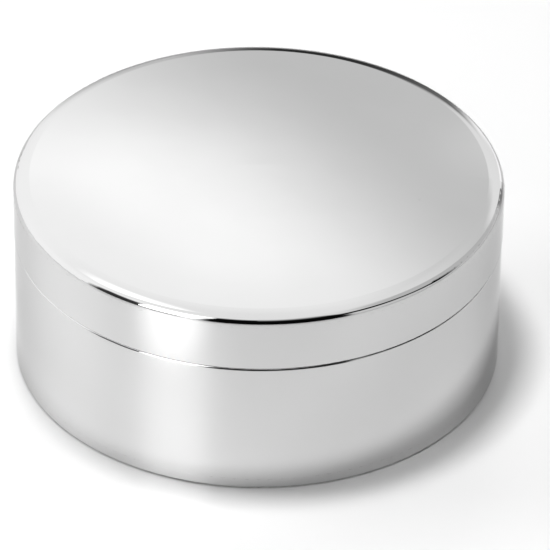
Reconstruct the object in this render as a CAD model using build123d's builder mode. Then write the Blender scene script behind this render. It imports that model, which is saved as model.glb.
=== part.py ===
from build123d import *
import os
from math import cos, radians, sin

os.makedirs("parts", exist_ok=True)

# Sizes of the metal box, in millimetres and degrees
lid_diameter = 45.0
lid_proud = 0.05
drum_height = 13.25
seam_gap = 0.05
skirt_height = 4.5
wall_gauge = 0.9
bottom_gauge = 1.0
top_gauge = 1.0
edge_land = 0.15
edge_radius = 0.75
shoulder_radius = 3.5
shoulder_slope = 24.0
dome_slope = 6.5
mouth_round = 0.25
skirt_round = 0.12
foot_round = 0.2

# The collar inside the drum, which the lid slides over
collar_gauge = 0.6
collar_above = 2.8
collar_below = 2.6
collar_lead = 0.35
collar_break = 0.15
collar_fit = 0.05

# The lining: velvet over card, with wadding in the two pads
velvet_gauge = 0.45
card_gauge = 0.4
turned_margin = 3.0
strip_play = 0.05
strip_butt = 0.25
pad_play = 0.15
pad_round = 0.4
floor_wadding_edge = 0.5
floor_wadding_crown = 1.9
lid_wadding_edge = 0.1
lid_wadding_crown = 0.7
lid_pad_play = 0.3

# Radii that follow from the sizes
lid_outer = lid_diameter / 2
drum_outer = lid_outer - lid_proud
drum_inner = drum_outer - wall_gauge
collar_inner = drum_inner - collar_gauge
skirt_inner = drum_inner + collar_fit
strip_outer = drum_inner - strip_play
strip_inner = strip_outer - card_gauge - velvet_gauge

# Heights that follow from the sizes
skirt_low = drum_height + seam_gap
joint_height = skirt_low + skirt_height
collar_low = drum_height - collar_below
collar_top = drum_height + collar_above

# The lid's outline turns from the dome through the shoulder and the edge into the skirt
dome_angle = radians(dome_slope)
shoulder_angle = radians(shoulder_slope)
edge_inset = edge_radius * (1 - sin(shoulder_angle))
shoulder_inset = shoulder_radius * (sin(shoulder_angle) - sin(dome_angle))
dome_radius = (lid_outer - edge_inset - shoulder_inset) / sin(dome_angle)
edge_rise = edge_radius * cos(shoulder_angle)
shoulder_rise = shoulder_radius * (cos(dome_angle) - cos(shoulder_angle))
dome_rise = dome_radius * (1 - cos(dome_angle))
crown_height = joint_height + edge_land + edge_rise + shoulder_rise + dome_rise


# Bottom plate, soldered across the end of the drum with a crisp lower corner
with BuildPart() as bottom_plate:
    with BuildSketch():
        Circle(drum_outer)
    extrude(amount=bottom_gauge)
    fillet(bottom_plate.edges().group_by(Axis.Z)[0], foot_round)

# Drum wall, a plain tube standing on the plate
with BuildPart() as drum_wall:
    with BuildSketch(Plane.XY.offset(bottom_gauge)):
        Circle(drum_outer)
        Circle(drum_inner, mode=Mode.SUBTRACT)
    extrude(amount=drum_height - bottom_gauge)
    fillet(drum_wall.edges().group_by(Axis.Z)[-1].sort_by(SortBy.RADIUS)[-1], mouth_round)

# Collar, soldered inside the wall and standing up past the seam
with BuildPart() as collar:
    with BuildSketch(Plane.XY.offset(collar_low)):
        Circle(drum_inner)
        Circle(collar_inner, mode=Mode.SUBTRACT)
    extrude(amount=collar_top - collar_low)
    fillet(collar.edges().group_by(Axis.Z)[-1].sort_by(SortBy.RADIUS)[-1], collar_lead)
    fillet(collar.edges().group_by(Axis.Z)[-1].sort_by(SortBy.RADIUS)[0], collar_break)

# Lid skirt, the straight ring that slides over the collar
with BuildPart() as lid_skirt:
    with BuildSketch(Plane.XY.offset(skirt_low)):
        Circle(lid_outer)
        Circle(skirt_inner, mode=Mode.SUBTRACT)
    extrude(amount=skirt_height)
    fillet(lid_skirt.edges().group_by(Axis.Z)[0].sort_by(SortBy.RADIUS)[-1], skirt_round)
    chamfer(lid_skirt.edges().group_by(Axis.Z)[0].sort_by(SortBy.RADIUS)[0], collar_break)

# Lid top, a domed plate soldered on the skirt, its edge polished round
with BuildPart() as lid_top:
    with BuildSketch(Plane.XZ):
        with BuildLine():
            dome = JernArc((0, crown_height), (1, 0), dome_radius, -dome_slope)
            shoulder = JernArc(dome @ 1, dome % 1, shoulder_radius, dome_slope - shoulder_slope)
            edge = JernArc(shoulder @ 1, shoulder % 1, edge_radius, shoulder_slope - 90)
            land = Line(edge @ 1, (lid_outer, joint_height))
            seat = Line(land @ 1, (skirt_inner, joint_height))
            underside = TangentArc((0, crown_height - top_gauge), seat @ 1, tangent=(1, 0))
            Line(underside @ 0, dome @ 0)
        make_face()
    revolve(axis=Axis.Z)

# Card strip bent round inside the drum, its ends butted at the back
strip_height = collar_low - bottom_gauge - strip_play
with BuildPart() as wall_card:
    with BuildSketch(Plane.XY.offset(bottom_gauge)):
        Circle(strip_outer)
        Circle(strip_outer - card_gauge, mode=Mode.SUBTRACT)
        with Locations((0, strip_outer)):
            Rectangle(strip_butt, 4 * card_gauge, mode=Mode.SUBTRACT)
    extrude(amount=strip_height - velvet_gauge)

# Velvet on the strip, turned over its top edge under the collar
with BuildPart() as wall_velvet:
    with BuildSketch(Plane.XY.offset(bottom_gauge)):
        Circle(strip_outer)
        Circle(strip_inner, mode=Mode.SUBTRACT)
        with Locations((0, strip_outer)):
            Rectangle(strip_butt, 4 * (card_gauge + velvet_gauge), mode=Mode.SUBTRACT)
    extrude(amount=strip_height)
    with BuildSketch(Plane.XY.offset(bottom_gauge)):
        Circle(strip_outer)
        Circle(strip_outer - card_gauge, mode=Mode.SUBTRACT)
    extrude(amount=strip_height - velvet_gauge, mode=Mode.SUBTRACT)


def padded_disc(section, radius, wadding_edge, wadding_crown):
    """Card, wadding and velvet of a pad, drawn in the half section that starts at its seat."""
    card_radius = radius - velvet_gauge
    card_face = velvet_gauge + card_gauge
    stuffed_edge = card_face + wadding_edge
    stuffed_crown = card_face + wadding_crown

    with BuildPart() as card:
        with BuildSketch(section):
            with Locations((0, velvet_gauge)):
                Rectangle(card_radius, card_gauge, align=Align.MIN)
        revolve(axis=Axis.Z)

    with BuildPart() as wadding:
        with BuildSketch(section):
            with BuildLine():
                crown = TangentArc((0, stuffed_crown), (card_radius, stuffed_edge), tangent=(1, 0))
                Polyline(crown @ 1, (card_radius, card_face), (0, card_face), crown @ 0)
            make_face()
        revolve(axis=Axis.Z)

    with BuildPart() as velvet:
        with BuildSketch(section):
            with BuildLine():
                pile_crown = stuffed_crown + velvet_gauge
                pile_edge = stuffed_edge + velvet_gauge
                crown = TangentArc((0, pile_crown), (radius, pile_edge), tangent=(1, 0))
                Polyline(crown @ 1, (radius, 0), (0, 0), crown @ 0)
            cover = make_face()
            fillet(cover.vertices().sort_by(Axis.X)[-2:].sort_by(Axis.Y)[-1], pad_round)
            with BuildLine():
                crown = TangentArc((0, stuffed_crown), (card_radius, stuffed_edge), tangent=(1, 0))
                Polyline(crown @ 1, (card_radius, velvet_gauge), (0, velvet_gauge), crown @ 0)
            make_face(mode=Mode.SUBTRACT)
            Rectangle(radius - turned_margin, velvet_gauge, align=Align.MIN, mode=Mode.SUBTRACT)
        revolve(axis=Axis.Z)

    return card, wadding, velvet


# Floor pad, laid on the bottom plate inside the strip
floor_section = Plane(origin=(0, 0, bottom_gauge), x_dir=(1, 0, 0), z_dir=(0, -1, 0))
floor_radius = strip_inner - pad_play
floor_pad = padded_disc(floor_section, floor_radius, floor_wadding_edge, floor_wadding_crown)
floor_card, floor_wadding, floor_velvet = floor_pad

# Lid pad, glued up into the lid with its velvet facing down
lid_section = Plane(origin=(0, 0, joint_height), x_dir=(1, 0, 0), z_dir=(0, 1, 0))
lid_pad_radius = skirt_inner - lid_pad_play
lid_pad = padded_disc(lid_section, lid_pad_radius, lid_wadding_edge, lid_wadding_crown)
lid_card, lid_wadding, lid_velvet = lid_pad

pieces = {
    "bottom_plate": bottom_plate,
    "drum_wall": drum_wall,
    "collar": collar,
    "lid_skirt": lid_skirt,
    "lid_top": lid_top,
    "wall_card": wall_card,
    "wall_velvet": wall_velvet,
    "floor_card": floor_card,
    "floor_wadding": floor_wadding,
    "floor_velvet": floor_velvet,
    "lid_card": lid_card,
    "lid_wadding": lid_wadding,
    "lid_velvet": lid_velvet,
}
for name, piece in pieces.items():
    piece.part.label = name
    export_step(piece.part, f"parts/{name}.step")
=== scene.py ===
"""A small round keepsake box of polished silver plate, lined with velvet, on a pale table."""

import math

import bmesh
import bpy
from mathutils import Matrix, Vector, noise


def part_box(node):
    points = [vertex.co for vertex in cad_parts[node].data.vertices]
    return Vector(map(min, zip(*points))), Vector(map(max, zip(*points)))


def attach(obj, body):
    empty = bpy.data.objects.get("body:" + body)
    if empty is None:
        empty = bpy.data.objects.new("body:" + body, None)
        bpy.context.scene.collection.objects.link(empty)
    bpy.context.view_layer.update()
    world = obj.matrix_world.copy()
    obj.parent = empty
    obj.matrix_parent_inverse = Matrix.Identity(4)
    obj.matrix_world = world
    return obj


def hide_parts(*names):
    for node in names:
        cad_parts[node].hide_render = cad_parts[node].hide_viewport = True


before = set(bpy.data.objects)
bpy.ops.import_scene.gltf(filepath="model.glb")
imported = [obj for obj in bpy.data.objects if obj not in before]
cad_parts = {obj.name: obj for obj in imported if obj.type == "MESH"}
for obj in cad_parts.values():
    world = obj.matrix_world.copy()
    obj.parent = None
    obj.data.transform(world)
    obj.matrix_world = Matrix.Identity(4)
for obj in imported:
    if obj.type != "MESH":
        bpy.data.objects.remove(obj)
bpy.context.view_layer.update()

MM = 0.001

# Finished sizes of the lining
VELVET_GAUGE = 0.45 * MM
CARD_GAUGE = 0.4 * MM
CARD_FACE = VELVET_GAUGE + CARD_GAUGE
TURNED_MARGIN = 3.0 * MM
STRIP_BUTT = 0.25 * MM
STRIP_LIP_PLAY = 0.05 * MM

# Small folds at a pad's edge start at this share of its radius
FOLDS_START = 0.6
FOLD_DEPTH = 0.09 * MM

# Stuffing of the pads. The solver's springs behave at many times the real size.
SOLVER_SIZE = 25.0
SOLVER_STEPS = 20
STUFFING_LIMIT = 0.8 * MM
WADDING_PLAY = 0.06 * MM

# How finely the round soft pieces are drawn
PAD_ROUND_STEPS = 144
STRIP_ROUND_STEPS = 200

# Heights of the two lines of painted shade in the metal's colour
SEAM_HEIGHT = 13.24 * MM
LID_JOINT_HEIGHT = 17.8 * MM


# Shader maths

class Signal:
    """A number in a shader. Python's operators on it add Math nodes."""

    def __init__(self, shader, socket):
        self.shader = shader
        self.socket = socket

    def __add__(self, other):
        return self.shader.math("ADD", self, other)

    def __radd__(self, other):
        return self.shader.math("ADD", other, self)

    def __sub__(self, other):
        return self.shader.math("SUBTRACT", self, other)

    def __rsub__(self, other):
        return self.shader.math("SUBTRACT", other, self)

    def __mul__(self, other):
        return self.shader.math("MULTIPLY", self, other)

    def __rmul__(self, other):
        return self.shader.math("MULTIPLY", other, self)

    def ramp(self, low, high, start=0.0, end=1.0):
        """Eases from start to end as the number goes from low to high."""
        settings = {"interpolation_type": "SMOOTHSTEP"}
        inputs = {"Value": self, 1: low, 2: high, 3: start, 4: end}
        return self.shader.add("ShaderNodeMapRange", settings, inputs).out()

    def band(self, start, full, fading, end):
        """Eases up from 0 to 1 between start and full, and back to 0 between fading and end."""
        return self.ramp(start, full) * self.ramp(end, fading)

    def blend(self, other, amount):
        """Mixes this number with another one by an amount from 0 to 1."""
        return self * (1 - amount) + other * amount


class Added:
    """A node that was added to a shader."""

    def __init__(self, shader, node):
        self.shader = shader
        self.node = node

    def out(self, name=0):
        return Signal(self.shader, self.node.outputs[name])


class Shader:
    """The nodes of one material or world."""

    def __init__(self, owner):
        owner.use_nodes = True
        self.tree = owner.node_tree
        self.tree.nodes.clear()

    def add(self, kind, settings=None, inputs=None):
        node = self.tree.nodes.new(kind)
        for name, value in (settings or {}).items():
            setattr(node, name, value)
        for name, value in (inputs or {}).items():
            socket = node.inputs[name]
            if isinstance(value, Signal):
                self.tree.links.new(value.socket, socket)
            else:
                socket.default_value = value
        return Added(self, node)

    def math(self, operation, *values):
        """Adds one Math node on plain numbers and signals."""
        return self.add("ShaderNodeMath", {"operation": operation}, dict(enumerate(values))).out()

    def place(self):
        """Where a point lies on the piece, in metres."""
        return self.add("ShaderNodeTexCoord").out("Object")

    def split(self, vector):
        """The X, Y and Z of a vector."""
        parts = self.add("ShaderNodeSeparateXYZ", inputs={0: vector})
        return parts.out("X"), parts.out("Y"), parts.out("Z")

    def noise(self, place, scale, detail):
        """Soft noise from 0 to 1, with this many cells to the metre."""
        inputs = {"Vector": place, "Scale": scale, "Detail": detail, "Roughness": 0.5}
        return self.add("ShaderNodeTexNoise", inputs=inputs).out(0)

    def stretched_noise(self, place, cells, detail):
        """Soft noise with its own number of cells to the metre along each axis."""
        scaled = self.add("ShaderNodeMapping", inputs={"Vector": place, "Scale": cells})
        return self.noise(scaled.out(), 1.0, detail)

    def tint(self, low, high, amount):
        """Mixes two colours by an amount from 0 to 1."""
        inputs = {0: amount, 6: (*low, 1), 7: (*high, 1)}
        return self.add("ShaderNodeMix", {"data_type": "RGBA"}, inputs).out(2)

    def bump(self, height, distance):
        inputs = {"Height": height, "Distance": distance, "Strength": 1.0}
        return self.add("ShaderNodeBump", inputs=inputs).out()

    def principled(self, **inputs):
        """Ends the shader with a Principled surface."""
        named = {name.replace("_", " "): value for name, value in inputs.items()}
        shine = self.add("ShaderNodeBsdfPrincipled", inputs=named)
        self.add("ShaderNodeOutputMaterial", inputs={"Surface": shine.out()})


# Finishes

def blank(name):
    material = bpy.data.materials.new(name)
    return material, Shader(material)


def polished_silver():
    """Bright plate, hand polished: it ripples a little and holds fine marks of the buff.

    The seam is darkened at the right front with painted shade, standing in for the shade in its
    gap.
    A faint line of painted shade at the far left darkens the crack where the lid's top meets its
    skirt.
    """
    material, shader = blank("polished_silver")
    place = shader.place()
    x, y, z = shader.split(place)
    cloudy = shader.noise(place, 90, 3)
    ripple = shader.noise(place, 170, 1)
    peel = shader.noise(place, 1300, 2)

    reach = shader.math("SQRT", x * x + y * y)
    turn = shader.math("ARCTAN2", x, y)
    rings = {0: reach * 5200, 1: turn * 2, 2: z * 5200}
    buffing = shader.add("ShaderNodeCombineXYZ", inputs=rings).out()
    hairline = shader.noise(buffing, 1.0, 2).ramp(0.52, 0.72)

    pits = shader.add("ShaderNodeTexVoronoi", {"feature": "F1"}, {"Vector": place, "Scale": 330.0})
    rare = shader.split(pits.out("Color"))[0].ramp(0.80, 0.82)
    speck = pits.out("Distance").ramp(0.045, 0.02) * rare

    # Painted shade: the seam's gap is darkened at the right front, where it lies in shade
    seam = shader.math("ABSOLUTE", z - SEAM_HEIGHT).ramp(0.12 * MM, 0.07 * MM)
    right_front = x.ramp(2 * MM, 9 * MM) * y.ramp(3 * MM, -4 * MM)
    painted_seam_shade = seam * right_front * shader.noise(place, 420, 2).ramp(0.3, 0.55, 0.5, 0.9)
    # Painted shade: a faint dark line on the crack where the lid's top meets its skirt, at the far
    # left only
    joint = shader.math("ABSOLUTE", z - LID_JOINT_HEIGHT).ramp(0.04 * MM, 0.02 * MM)
    painted_joint_shade = 0.6 * joint * x.ramp(-20.5 * MM, -21.8 * MM)
    clean = 1 - 0.02 * cloudy.ramp(0.4, 0.7) - 0.25 * speck
    shade = clean * (1 - painted_seam_shade) * (1 - painted_joint_shade)

    shader.principled(
        Base_Color=shader.tint((0, 0, 0), (0.65, 0.65, 0.65), shade),
        Metallic=1.0,
        Specular_Tint=(0.72, 0.72, 0.72, 1),
        Roughness=0.02 + 0.02 * hairline + 0.02 * cloudy + 0.2 * speck,
        Normal=shader.bump(ripple * 1.6 + peel * 0.05 - speck * 0.25, 0.006 * MM),
    )
    return material


def blue_velvet():
    """Short pile, brushed this way and that, so that patches of it look deeper."""
    material, shader = blank("blue_velvet")
    place = shader.place()
    brushed = shader.noise(place, 190, 3).ramp(0.35, 0.65)
    tufts = shader.noise(place, 2600, 2).ramp(0.3, 0.7)
    pile = shader.noise(place, 9000, 1)
    deep, bright = (0.010, 0.016, 0.062), (0.035, 0.058, 0.20)
    shader.principled(
        Base_Color=shader.tint(deep, bright, 0.25 + 0.45 * brushed + 0.3 * tufts),
        Roughness=0.75 + 0.2 * pile,
        Normal=shader.bump(pile * 0.5 + tufts * 0.35 + brushed * 0.8, 0.09 * MM),
        Specular_IOR_Level=0.25,
        Sheen_Weight=0.75,
        Sheen_Roughness=0.35,
        Sheen_Tint=(0.42, 0.52, 1.0, 1),
    )
    return material


def lining_card():
    """Grey-brown board with short fibres pressed into it."""
    material, shader = blank("lining_card")
    place = shader.place()
    mottle = shader.noise(place, 420, 4)
    fibre = shader.stretched_noise(place, (900, 5200, 5200), 2).ramp(0.55, 0.68)
    deep, pale = (0.44, 0.39, 0.31), (0.66, 0.61, 0.52)
    shader.principled(
        Base_Color=shader.tint(deep, pale, mottle.ramp(0.3, 0.7) * 0.75 + fibre * 0.25),
        Roughness=0.82 + 0.12 * mottle,
        Normal=shader.bump(mottle + fibre * 0.6, 0.03 * MM),
    )
    return material


def white_wadding():
    """Loose white fibre in soft clumps."""
    material, shader = blank("white_wadding")
    place = shader.place()
    clumps = shader.noise(place, 500, 3)
    fluff = shader.stretched_noise(place, (6500, 1300, 3000), 3)
    deep, pale = (0.70, 0.69, 0.65), (0.92, 0.91, 0.88)
    shader.principled(
        Base_Color=shader.tint(deep, pale, clumps * 0.5 + fluff * 0.5),
        Roughness=0.9 + 0.08 * fluff,
        Normal=shader.bump(clumps * 2.0 + fluff * 0.6, 0.12 * MM),
    )
    return material


silver = polished_silver()
velvet = blue_velvet()
card = lining_card()
wadding = white_wadding()


# Objects and outlines

def added(name, data):
    """Makes an object of its data, in the scene."""
    made = bpy.data.objects.new(name, data)
    bpy.context.scene.collection.objects.link(made)
    return made


def meshed(name, mesh):
    """Makes an object with a copy of a drawn mesh."""
    data = bpy.data.meshes.new(name)
    mesh.to_mesh(data)
    return added(name, data)


def start(mesh, x, z):
    """Starts an outline, which is later spun about the box's axis."""
    return bmesh.ops.create_vert(mesh, co=(x, 0, z))["vert"][0]


def run(mesh, corner, x, z, steps=1):
    """Draws a straight run of the outline to x, z and returns its last point."""
    begin, end = corner.co.copy(), Vector((x, 0, z))
    for step in range(1, steps + 1):
        corner = bmesh.ops.extrude_vert_indiv(mesh, verts=[corner])["verts"][0]
        corner.co = begin.lerp(end, step / steps)
    return corner


def bend(mesh, corner, centre_x, centre_z, degrees, steps):
    """Turns the outline clockwise, seen from the front, about a centre; returns its last point."""
    made = bmesh.ops.spin(
        mesh,
        geom=[corner],
        cent=(centre_x, 0, centre_z),
        axis=(0, 1, 0),
        angle=math.radians(degrees),
        steps=steps,
    )
    return next(part for part in made["geom_last"] if isinstance(part, bmesh.types.BMVert))


def spin_round(mesh, angle, steps, closed):
    """Spins the outline about the box's axis."""
    bmesh.ops.spin(
        mesh,
        geom=mesh.verts[:] + mesh.edges[:],
        cent=(0, 0, 0),
        axis=(0, 0, 1),
        angle=angle,
        steps=steps,
        use_merge=closed,
    )


def piece(name, mesh, body, node, finish):
    """Makes an object of a finished mesh and seats it on its body in a node's place."""
    for face in mesh.faces:
        face.smooth = True
    made = meshed(name, mesh)
    mesh.free()
    made.data.materials.append(finish)
    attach(made, body)
    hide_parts(node)
    return made


def velvet_gauge(cloth, offset):
    """Gives velvet its thickness, outwards or inwards by the offset, and a finer mesh."""
    gauge = cloth.modifiers.new("gauge", "SOLIDIFY")
    gauge.thickness = VELVET_GAUGE
    gauge.offset = offset
    finer = cloth.modifiers.new("finer", "SUBSURF")
    finer.levels = finer.render_levels = 1


# The two pads: velvet drawn over wadding and card

def pad_skin(radius, crown, slope, edge_round):
    """The velvet's outer face before it is stuffed, seated on z = 0, its margin turned under."""
    lean = math.radians(slope)
    dome = (radius - edge_round * (1 - math.sin(lean))) / math.sin(lean)
    edge_z = crown - dome * (1 - math.cos(lean)) - edge_round * math.cos(lean)
    foot_round = 0.5 * edge_z
    mesh = bmesh.new()
    point = start(mesh, 0, crown)
    point = bend(mesh, point, 0, crown - dome, slope, 30)
    point = bend(mesh, point, radius - edge_round, edge_z, 90 - slope, 8)
    point = run(mesh, point, radius, foot_round, 2)
    point = bend(mesh, point, radius - foot_round, foot_round, 90, 4)
    run(mesh, point, radius - TURNED_MARGIN, 0, 4)
    spin_round(mesh, math.tau, PAD_ROUND_STEPS, closed=True)
    bmesh.ops.remove_doubles(mesh, verts=mesh.verts[:], dist=1e-7)
    bmesh.ops.recalc_face_normals(mesh, faces=mesh.faces[:])
    return mesh


def gather(mesh, radius, folds):
    """Draws the velvet into small uneven folds where it is pulled over the pad's edge."""
    for vert in mesh.verts:
        reach = vert.co.xy.length / radius
        if vert.co.z < CARD_FACE or reach < FOLDS_START:
            continue
        turn = math.atan2(vert.co.y, vert.co.x)
        ring = Vector((math.cos(turn), math.sin(turn), 0.3 * folds))
        drift = noise.noise(ring * 2.3)
        swell = 0.5 + 0.5 * noise.noise(ring * 5.1)
        fold = math.cos(folds * turn + 5 * drift) * swell
        vert.co.z += FOLD_DEPTH * fold * ((reach - FOLDS_START) / (1 - FOLDS_START)) ** 2


def stuff(mesh, pressure):
    """Blows the velvet up over its wadding. What lies below the card's face is held."""
    for vert in mesh.verts:
        vert.co *= SOLVER_SIZE
    cloth = meshed("pad_solver", mesh)
    data = cloth.data
    held = cloth.vertex_groups.new(name="held")
    below = [vert.index for vert in data.vertices if vert.co.z < CARD_FACE * SOLVER_SIZE]
    held.add(below, 1.0, "REPLACE")
    solver = cloth.modifiers.new("stuffing", "CLOTH")
    solver.settings.quality = 7
    solver.settings.mass = 0.3
    solver.settings.tension_stiffness = 18
    solver.settings.compression_stiffness = 18
    solver.settings.shear_stiffness = 6
    solver.settings.bending_stiffness = 0.6
    solver.settings.vertex_group_mass = "held"
    solver.settings.use_pressure = True
    solver.settings.uniform_pressure_force = pressure
    solver.settings.shrink_min = -0.015
    solver.settings.effector_weights.gravity = 0
    solver.point_cache.frame_start = 1
    solver.point_cache.frame_end = SOLVER_STEPS
    scene = bpy.context.scene
    for frame_number in range(1, SOLVER_STEPS + 1):
        scene.frame_set(frame_number)
    blown = cloth.evaluated_get(bpy.context.evaluated_depsgraph_get()).to_mesh()
    limit = STUFFING_LIMIT * SOLVER_SIZE
    for vert, moved in zip(mesh.verts, blown.vertices):
        step = moved.co - vert.co
        if step.length > limit:
            step *= limit / step.length
        vert.co = (vert.co + step) / SOLVER_SIZE
    scene.frame_set(1)
    bpy.data.objects.remove(cloth)
    bpy.data.meshes.remove(data)


def fit(mesh, radius, height):
    """Brings the stuffed velvet back to the pad's radius and height."""
    top = max(vert.co.z for vert in mesh.verts)
    for vert in mesh.verts:
        if vert.co.z > CARD_FACE:
            above = vert.co.z - CARD_FACE
            vert.co.z = CARD_FACE + above * (height - CARD_FACE) / (top - CARD_FACE)
        reach = vert.co.xy.length
        if reach > radius:
            vert.co.x *= radius / reach
            vert.co.y *= radius / reach


def wadding_under(cover):
    """The wadding that fills a velvet cover down to the card's face."""
    filling = cover.copy()
    filling.normal_update()
    for vert, inward in [(vert, -vert.normal) for vert in filling.verts]:
        vert.co += inward * (VELVET_GAUGE + WADDING_PLAY)
    bmesh.ops.bisect_plane(
        filling,
        geom=filling.verts[:] + filling.edges[:] + filling.faces[:],
        plane_co=(0, 0, CARD_FACE),
        plane_no=(0, 0, 1),
        clear_inner=True,
    )
    bmesh.ops.holes_fill(filling, edges=[edge for edge in filling.edges if edge.is_boundary])
    return filling


def pad(label, body, node, wadding_node, crown, slope, edge_round, folds, pressure, hangs):
    """Velvet and wadding of one pad. A pad that hangs is turned over, its crown downwards."""
    low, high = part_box(node)
    radius, height = high.x, high.z - low.z
    cover = pad_skin(radius, crown * height, slope, edge_round)
    gather(cover, radius, folds)
    stuff(cover, pressure)
    fit(cover, radius, height)
    filling = wadding_under(cover)

    for mesh in (cover, filling):
        for vert in mesh.verts:
            vert.co.z = high.z - vert.co.z if hangs else low.z + vert.co.z
        bmesh.ops.recalc_face_normals(mesh, faces=mesh.faces[:])

    wool = piece(label + "_wadding_fill", filling, body, wadding_node, wadding)
    skin = piece(label + "_velvet_cover", cover, body, node, velvet)
    velvet_gauge(skin, -1)


# The velvet strip on the wall card

def wall_lining():
    """Velvet once round the wall, its top edge turned outwards over the card."""
    low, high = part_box("wall_velvet")
    half = VELVET_GAUGE / 2
    face = high.x - CARD_GAUGE - half
    roll = 0.2 * MM
    mesh = bmesh.new()
    point = start(mesh, face, low.z)
    point = run(mesh, point, face, high.z - half - roll, 12)
    point = bend(mesh, point, face + roll, high.z - half - roll, 90, 5)
    run(mesh, point, high.x - STRIP_LIP_PLAY, high.z - half, 2)
    gap = STRIP_BUTT / face
    to_butt = Matrix.Rotation(math.pi / 2 + gap / 2, 3, "Z")
    bmesh.ops.rotate(mesh, verts=mesh.verts[:], cent=(0, 0, 0), matrix=to_butt)
    spin_round(mesh, math.tau - gap, STRIP_ROUND_STEPS, closed=False)

    # The velvet stands off the card a little between its foot and its top edge
    for vert in mesh.verts:
        rise = (vert.co.z - low.z) / (high.z - low.z)
        away = vert.co.xy.normalized()
        wave = noise.noise(Vector((6 * away.x, 6 * away.y, 0.8 * rise))) + 0.6
        inwards = 0.1 * MM * max(0.0, wave) * math.sin(math.pi * min(1.0, rise * 1.05))
        vert.co.x -= away.x * inwards
        vert.co.y -= away.y * inwards
    bmesh.ops.recalc_face_normals(mesh, faces=mesh.faces[:])
    lining = piece("wall_velvet_strip", mesh, "drum", "wall_velvet", velvet)
    velvet_gauge(lining, 0)


pad(
    "floor_pad", "drum", "floor_velvet", "floor_wadding",
    crown=0.93, slope=9.0, edge_round=0.8 * MM, folds=46, pressure=3.0, hangs=False,
)
pad(
    "lid_pad", "lid", "lid_velvet", "lid_wadding",
    crown=0.95, slope=4.5, edge_round=0.6 * MM, folds=52, pressure=2.0, hangs=True,
)
wall_lining()

for finish, names in (
    (silver, ("lid_top", "lid_skirt", "collar", "drum_wall", "bottom_plate")),
    (card, ("wall_card", "floor_card", "lid_card")),
):
    for name in names:
        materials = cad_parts[name].data.materials
        materials.clear()
        materials.append(finish)


# Table, studio and camera

def table_top():
    """A matt white board with a breath of gloss."""
    material, shader = blank("table_top")
    grain = shader.noise(shader.place(), 600, 3)
    shader.principled(
        Base_Color=(0.8, 0.8, 0.8, 1),
        Roughness=0.33 + 0.04 * grain,
        IOR=2.0,
    )
    return material


def table():
    """A wide round board, a hair below the box so that the two never share a plane."""
    mesh = bmesh.new()
    bmesh.ops.create_circle(mesh, cap_ends=True, segments=64, radius=3.0)
    bmesh.ops.translate(mesh, verts=mesh.verts[:], vec=(0, 0, -0.01 * MM))
    made = meshed("table", mesh)
    mesh.free()
    made.data.materials.append(table_top())


def studio():
    """A white tent, brighter to the left, with the patches that the polished metal mirrors."""
    world = bpy.data.worlds.new("studio")
    world.cycles_visibility.diffuse = False
    bpy.context.scene.world = world
    shader = Shader(world)
    x, y, z = shader.split(shader.add("ShaderNodeTexCoord").out("Generated"))

    # Degrees round the box, 0 straight behind it and 90 at its right, and degrees up
    turn = shader.math("ARCTAN2", x, y) * math.degrees(1)
    rise = shader.math("ARCSINE", z) * math.degrees(1)

    # The bright left side and the right side meet in a slanting fold
    fold = x - 0.59 * z
    left = rise.ramp(30, 80, 1.36, 1.14)
    left = left + 0.14 * fold.ramp(-0.52, -0.44) * rise.band(26, 34, 43, 49)
    right = rise.ramp(35, 65, 0.82, 1.08)
    light = left.blend(right, fold.ramp(-0.435, -0.2))

    black = 0.003
    card_rise = rise - 0.2 * turn
    arm_top = turn.ramp(80, 125, 22, 42)
    arm_foot = turn.ramp(92, 116, 13, 26)
    patches = (
        # A window high at the left behind
        (2.2, turn.band(-85, -60, -42, -26) * rise.band(50, 62, 68, 78)),
        # A tilted card low at the right behind, and the dark slit beside it
        (card_rise.ramp(14, 6, 1.13, 1.5), turn.band(7, 13, 30, 40) * card_rise.ramp(32, 26)),
        (0.3, turn.band(34, 38, 41, 48) * rise.ramp(36, 26)),
        # A dark gap low straight behind
        (turn.ramp(4, 13, 0.04, 0.22), turn.band(-5, 1, 12, 17.5) * rise.band(-5, 0, 13, 21)),
        # A dark piece low at the left
        (0.05, turn.band(-134, -126, -108, -99) * rise.ramp(44, 30)),
        # The left part of the dark opening for the viewer
        (black, turn.ramp(-152, -160) * rise.ramp(68, 48)),
        # A dimmer panel at the right
        (0.68, turn.band(44, 60, 105, 130) * rise.band(8, 16, 58, 72)),
        # A thin dark arm that runs out from the opening to the right
        (black, turn.ramp(80, 92) * (rise - arm_top).ramp(4, -4) * (rise - arm_foot).ramp(-3, 2)),
        # The right part of the opening
        (black, turn.ramp(136, 142.5) * rise.ramp(74, 40) * rise.ramp(-40, -4)),
        # A dark piece low at the left front
        (0.04, turn.band(-150, -144, -116, -108) * rise.ramp(17, 9)),
        # What the camera sees past the table's edge
        (0.92, shader.add("ShaderNodeLightPath").out("Is Camera Ray")),
    )
    for level, amount in patches:
        light = light.blend(level, amount)
    background = shader.add("ShaderNodeBackground", inputs={"Color": light, "Strength": 1.0})
    shader.add("ShaderNodeOutputWorld", inputs={"Surface": background.out()})


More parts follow.
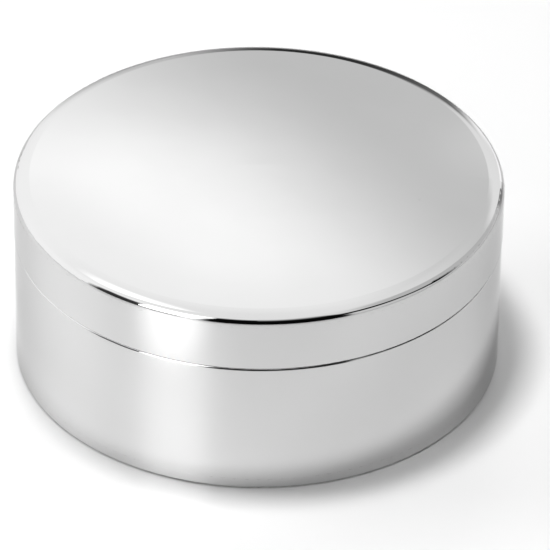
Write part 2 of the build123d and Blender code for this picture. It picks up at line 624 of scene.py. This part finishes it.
def shone(name, data, place, away):
    """Hangs a lamp in its place, shining against the direction away from what it lights."""
    made = added(name, data)
    made.location = place
    made.rotation_euler = away.to_track_quat("Z", "Y").to_euler()
    return made


def softbox(name, azimuth, elevation, distance, width, height, strength, mirrored=False):
    """An area light aimed at the box. Azimuth 0 is straight behind it and 90 at its right."""
    data = bpy.data.lights.new(name, "AREA")
    data.shape = "RECTANGLE"
    data.size = width
    data.size_y = height
    data.energy = strength * width * height * math.pi
    a, e = math.radians(azimuth), math.radians(elevation)
    away = Vector((math.sin(a) * math.cos(e), math.cos(a) * math.cos(e), math.sin(e)))
    made = shone(name, data, away * distance, away)
    made.visible_camera = False
    made.visible_glossy = mirrored


def beam():
    """A narrow beam on the table outside the picture, which the lid's side mirrors."""
    data = bpy.data.lights.new("beam", "SPOT")
    data.spot_size = math.radians(6.0)
    data.spot_blend = 1.0
    data.shadow_soft_size = 1.0 * MM
    data.energy = 2.7
    aim = Vector((-28.0, -46.0, 0)) * MM
    away = Vector((-0.2, -0.4, 1.0)).normalized()
    made = shone("beam", data, aim + away * 0.3, away)
    made.visible_glossy = False


def camera():
    """The photograph's viewpoint: a long lens half a metre away, looking down at 35 degrees."""
    data = bpy.data.cameras.new("camera")
    data.sensor_width = 36.0
    data.lens = 392.3
    made = added("camera", data)
    place = Matrix.Translation((0, -454.1 * MM, 326.4 * MM))
    turn = Matrix.Rotation(-0.0035, 4, "Z")
    tilt = Matrix.Rotation(math.pi / 2 - 0.6118, 4, "X")
    roll = Matrix.Rotation(0.0141, 4, "Z")
    made.matrix_world = place @ turn @ tilt @ roll
    bpy.context.scene.camera = made


table()
studio()
softbox("key", -72, 85, distance=0.3, width=0.055, height=0.055, strength=73.0)
softbox("right", 90, 65, distance=0.7, width=0.3, height=0.3, strength=4.1)
softbox("left", -75, 35, distance=0.8, width=0.4, height=0.4, strength=4.8)
softbox("strip", -141, 29, distance=0.8, width=0.36, height=0.62, strength=2.45, mirrored=True)
beam()
camera()
bpy.context.scene.view_settings.view_transform = "Standard"
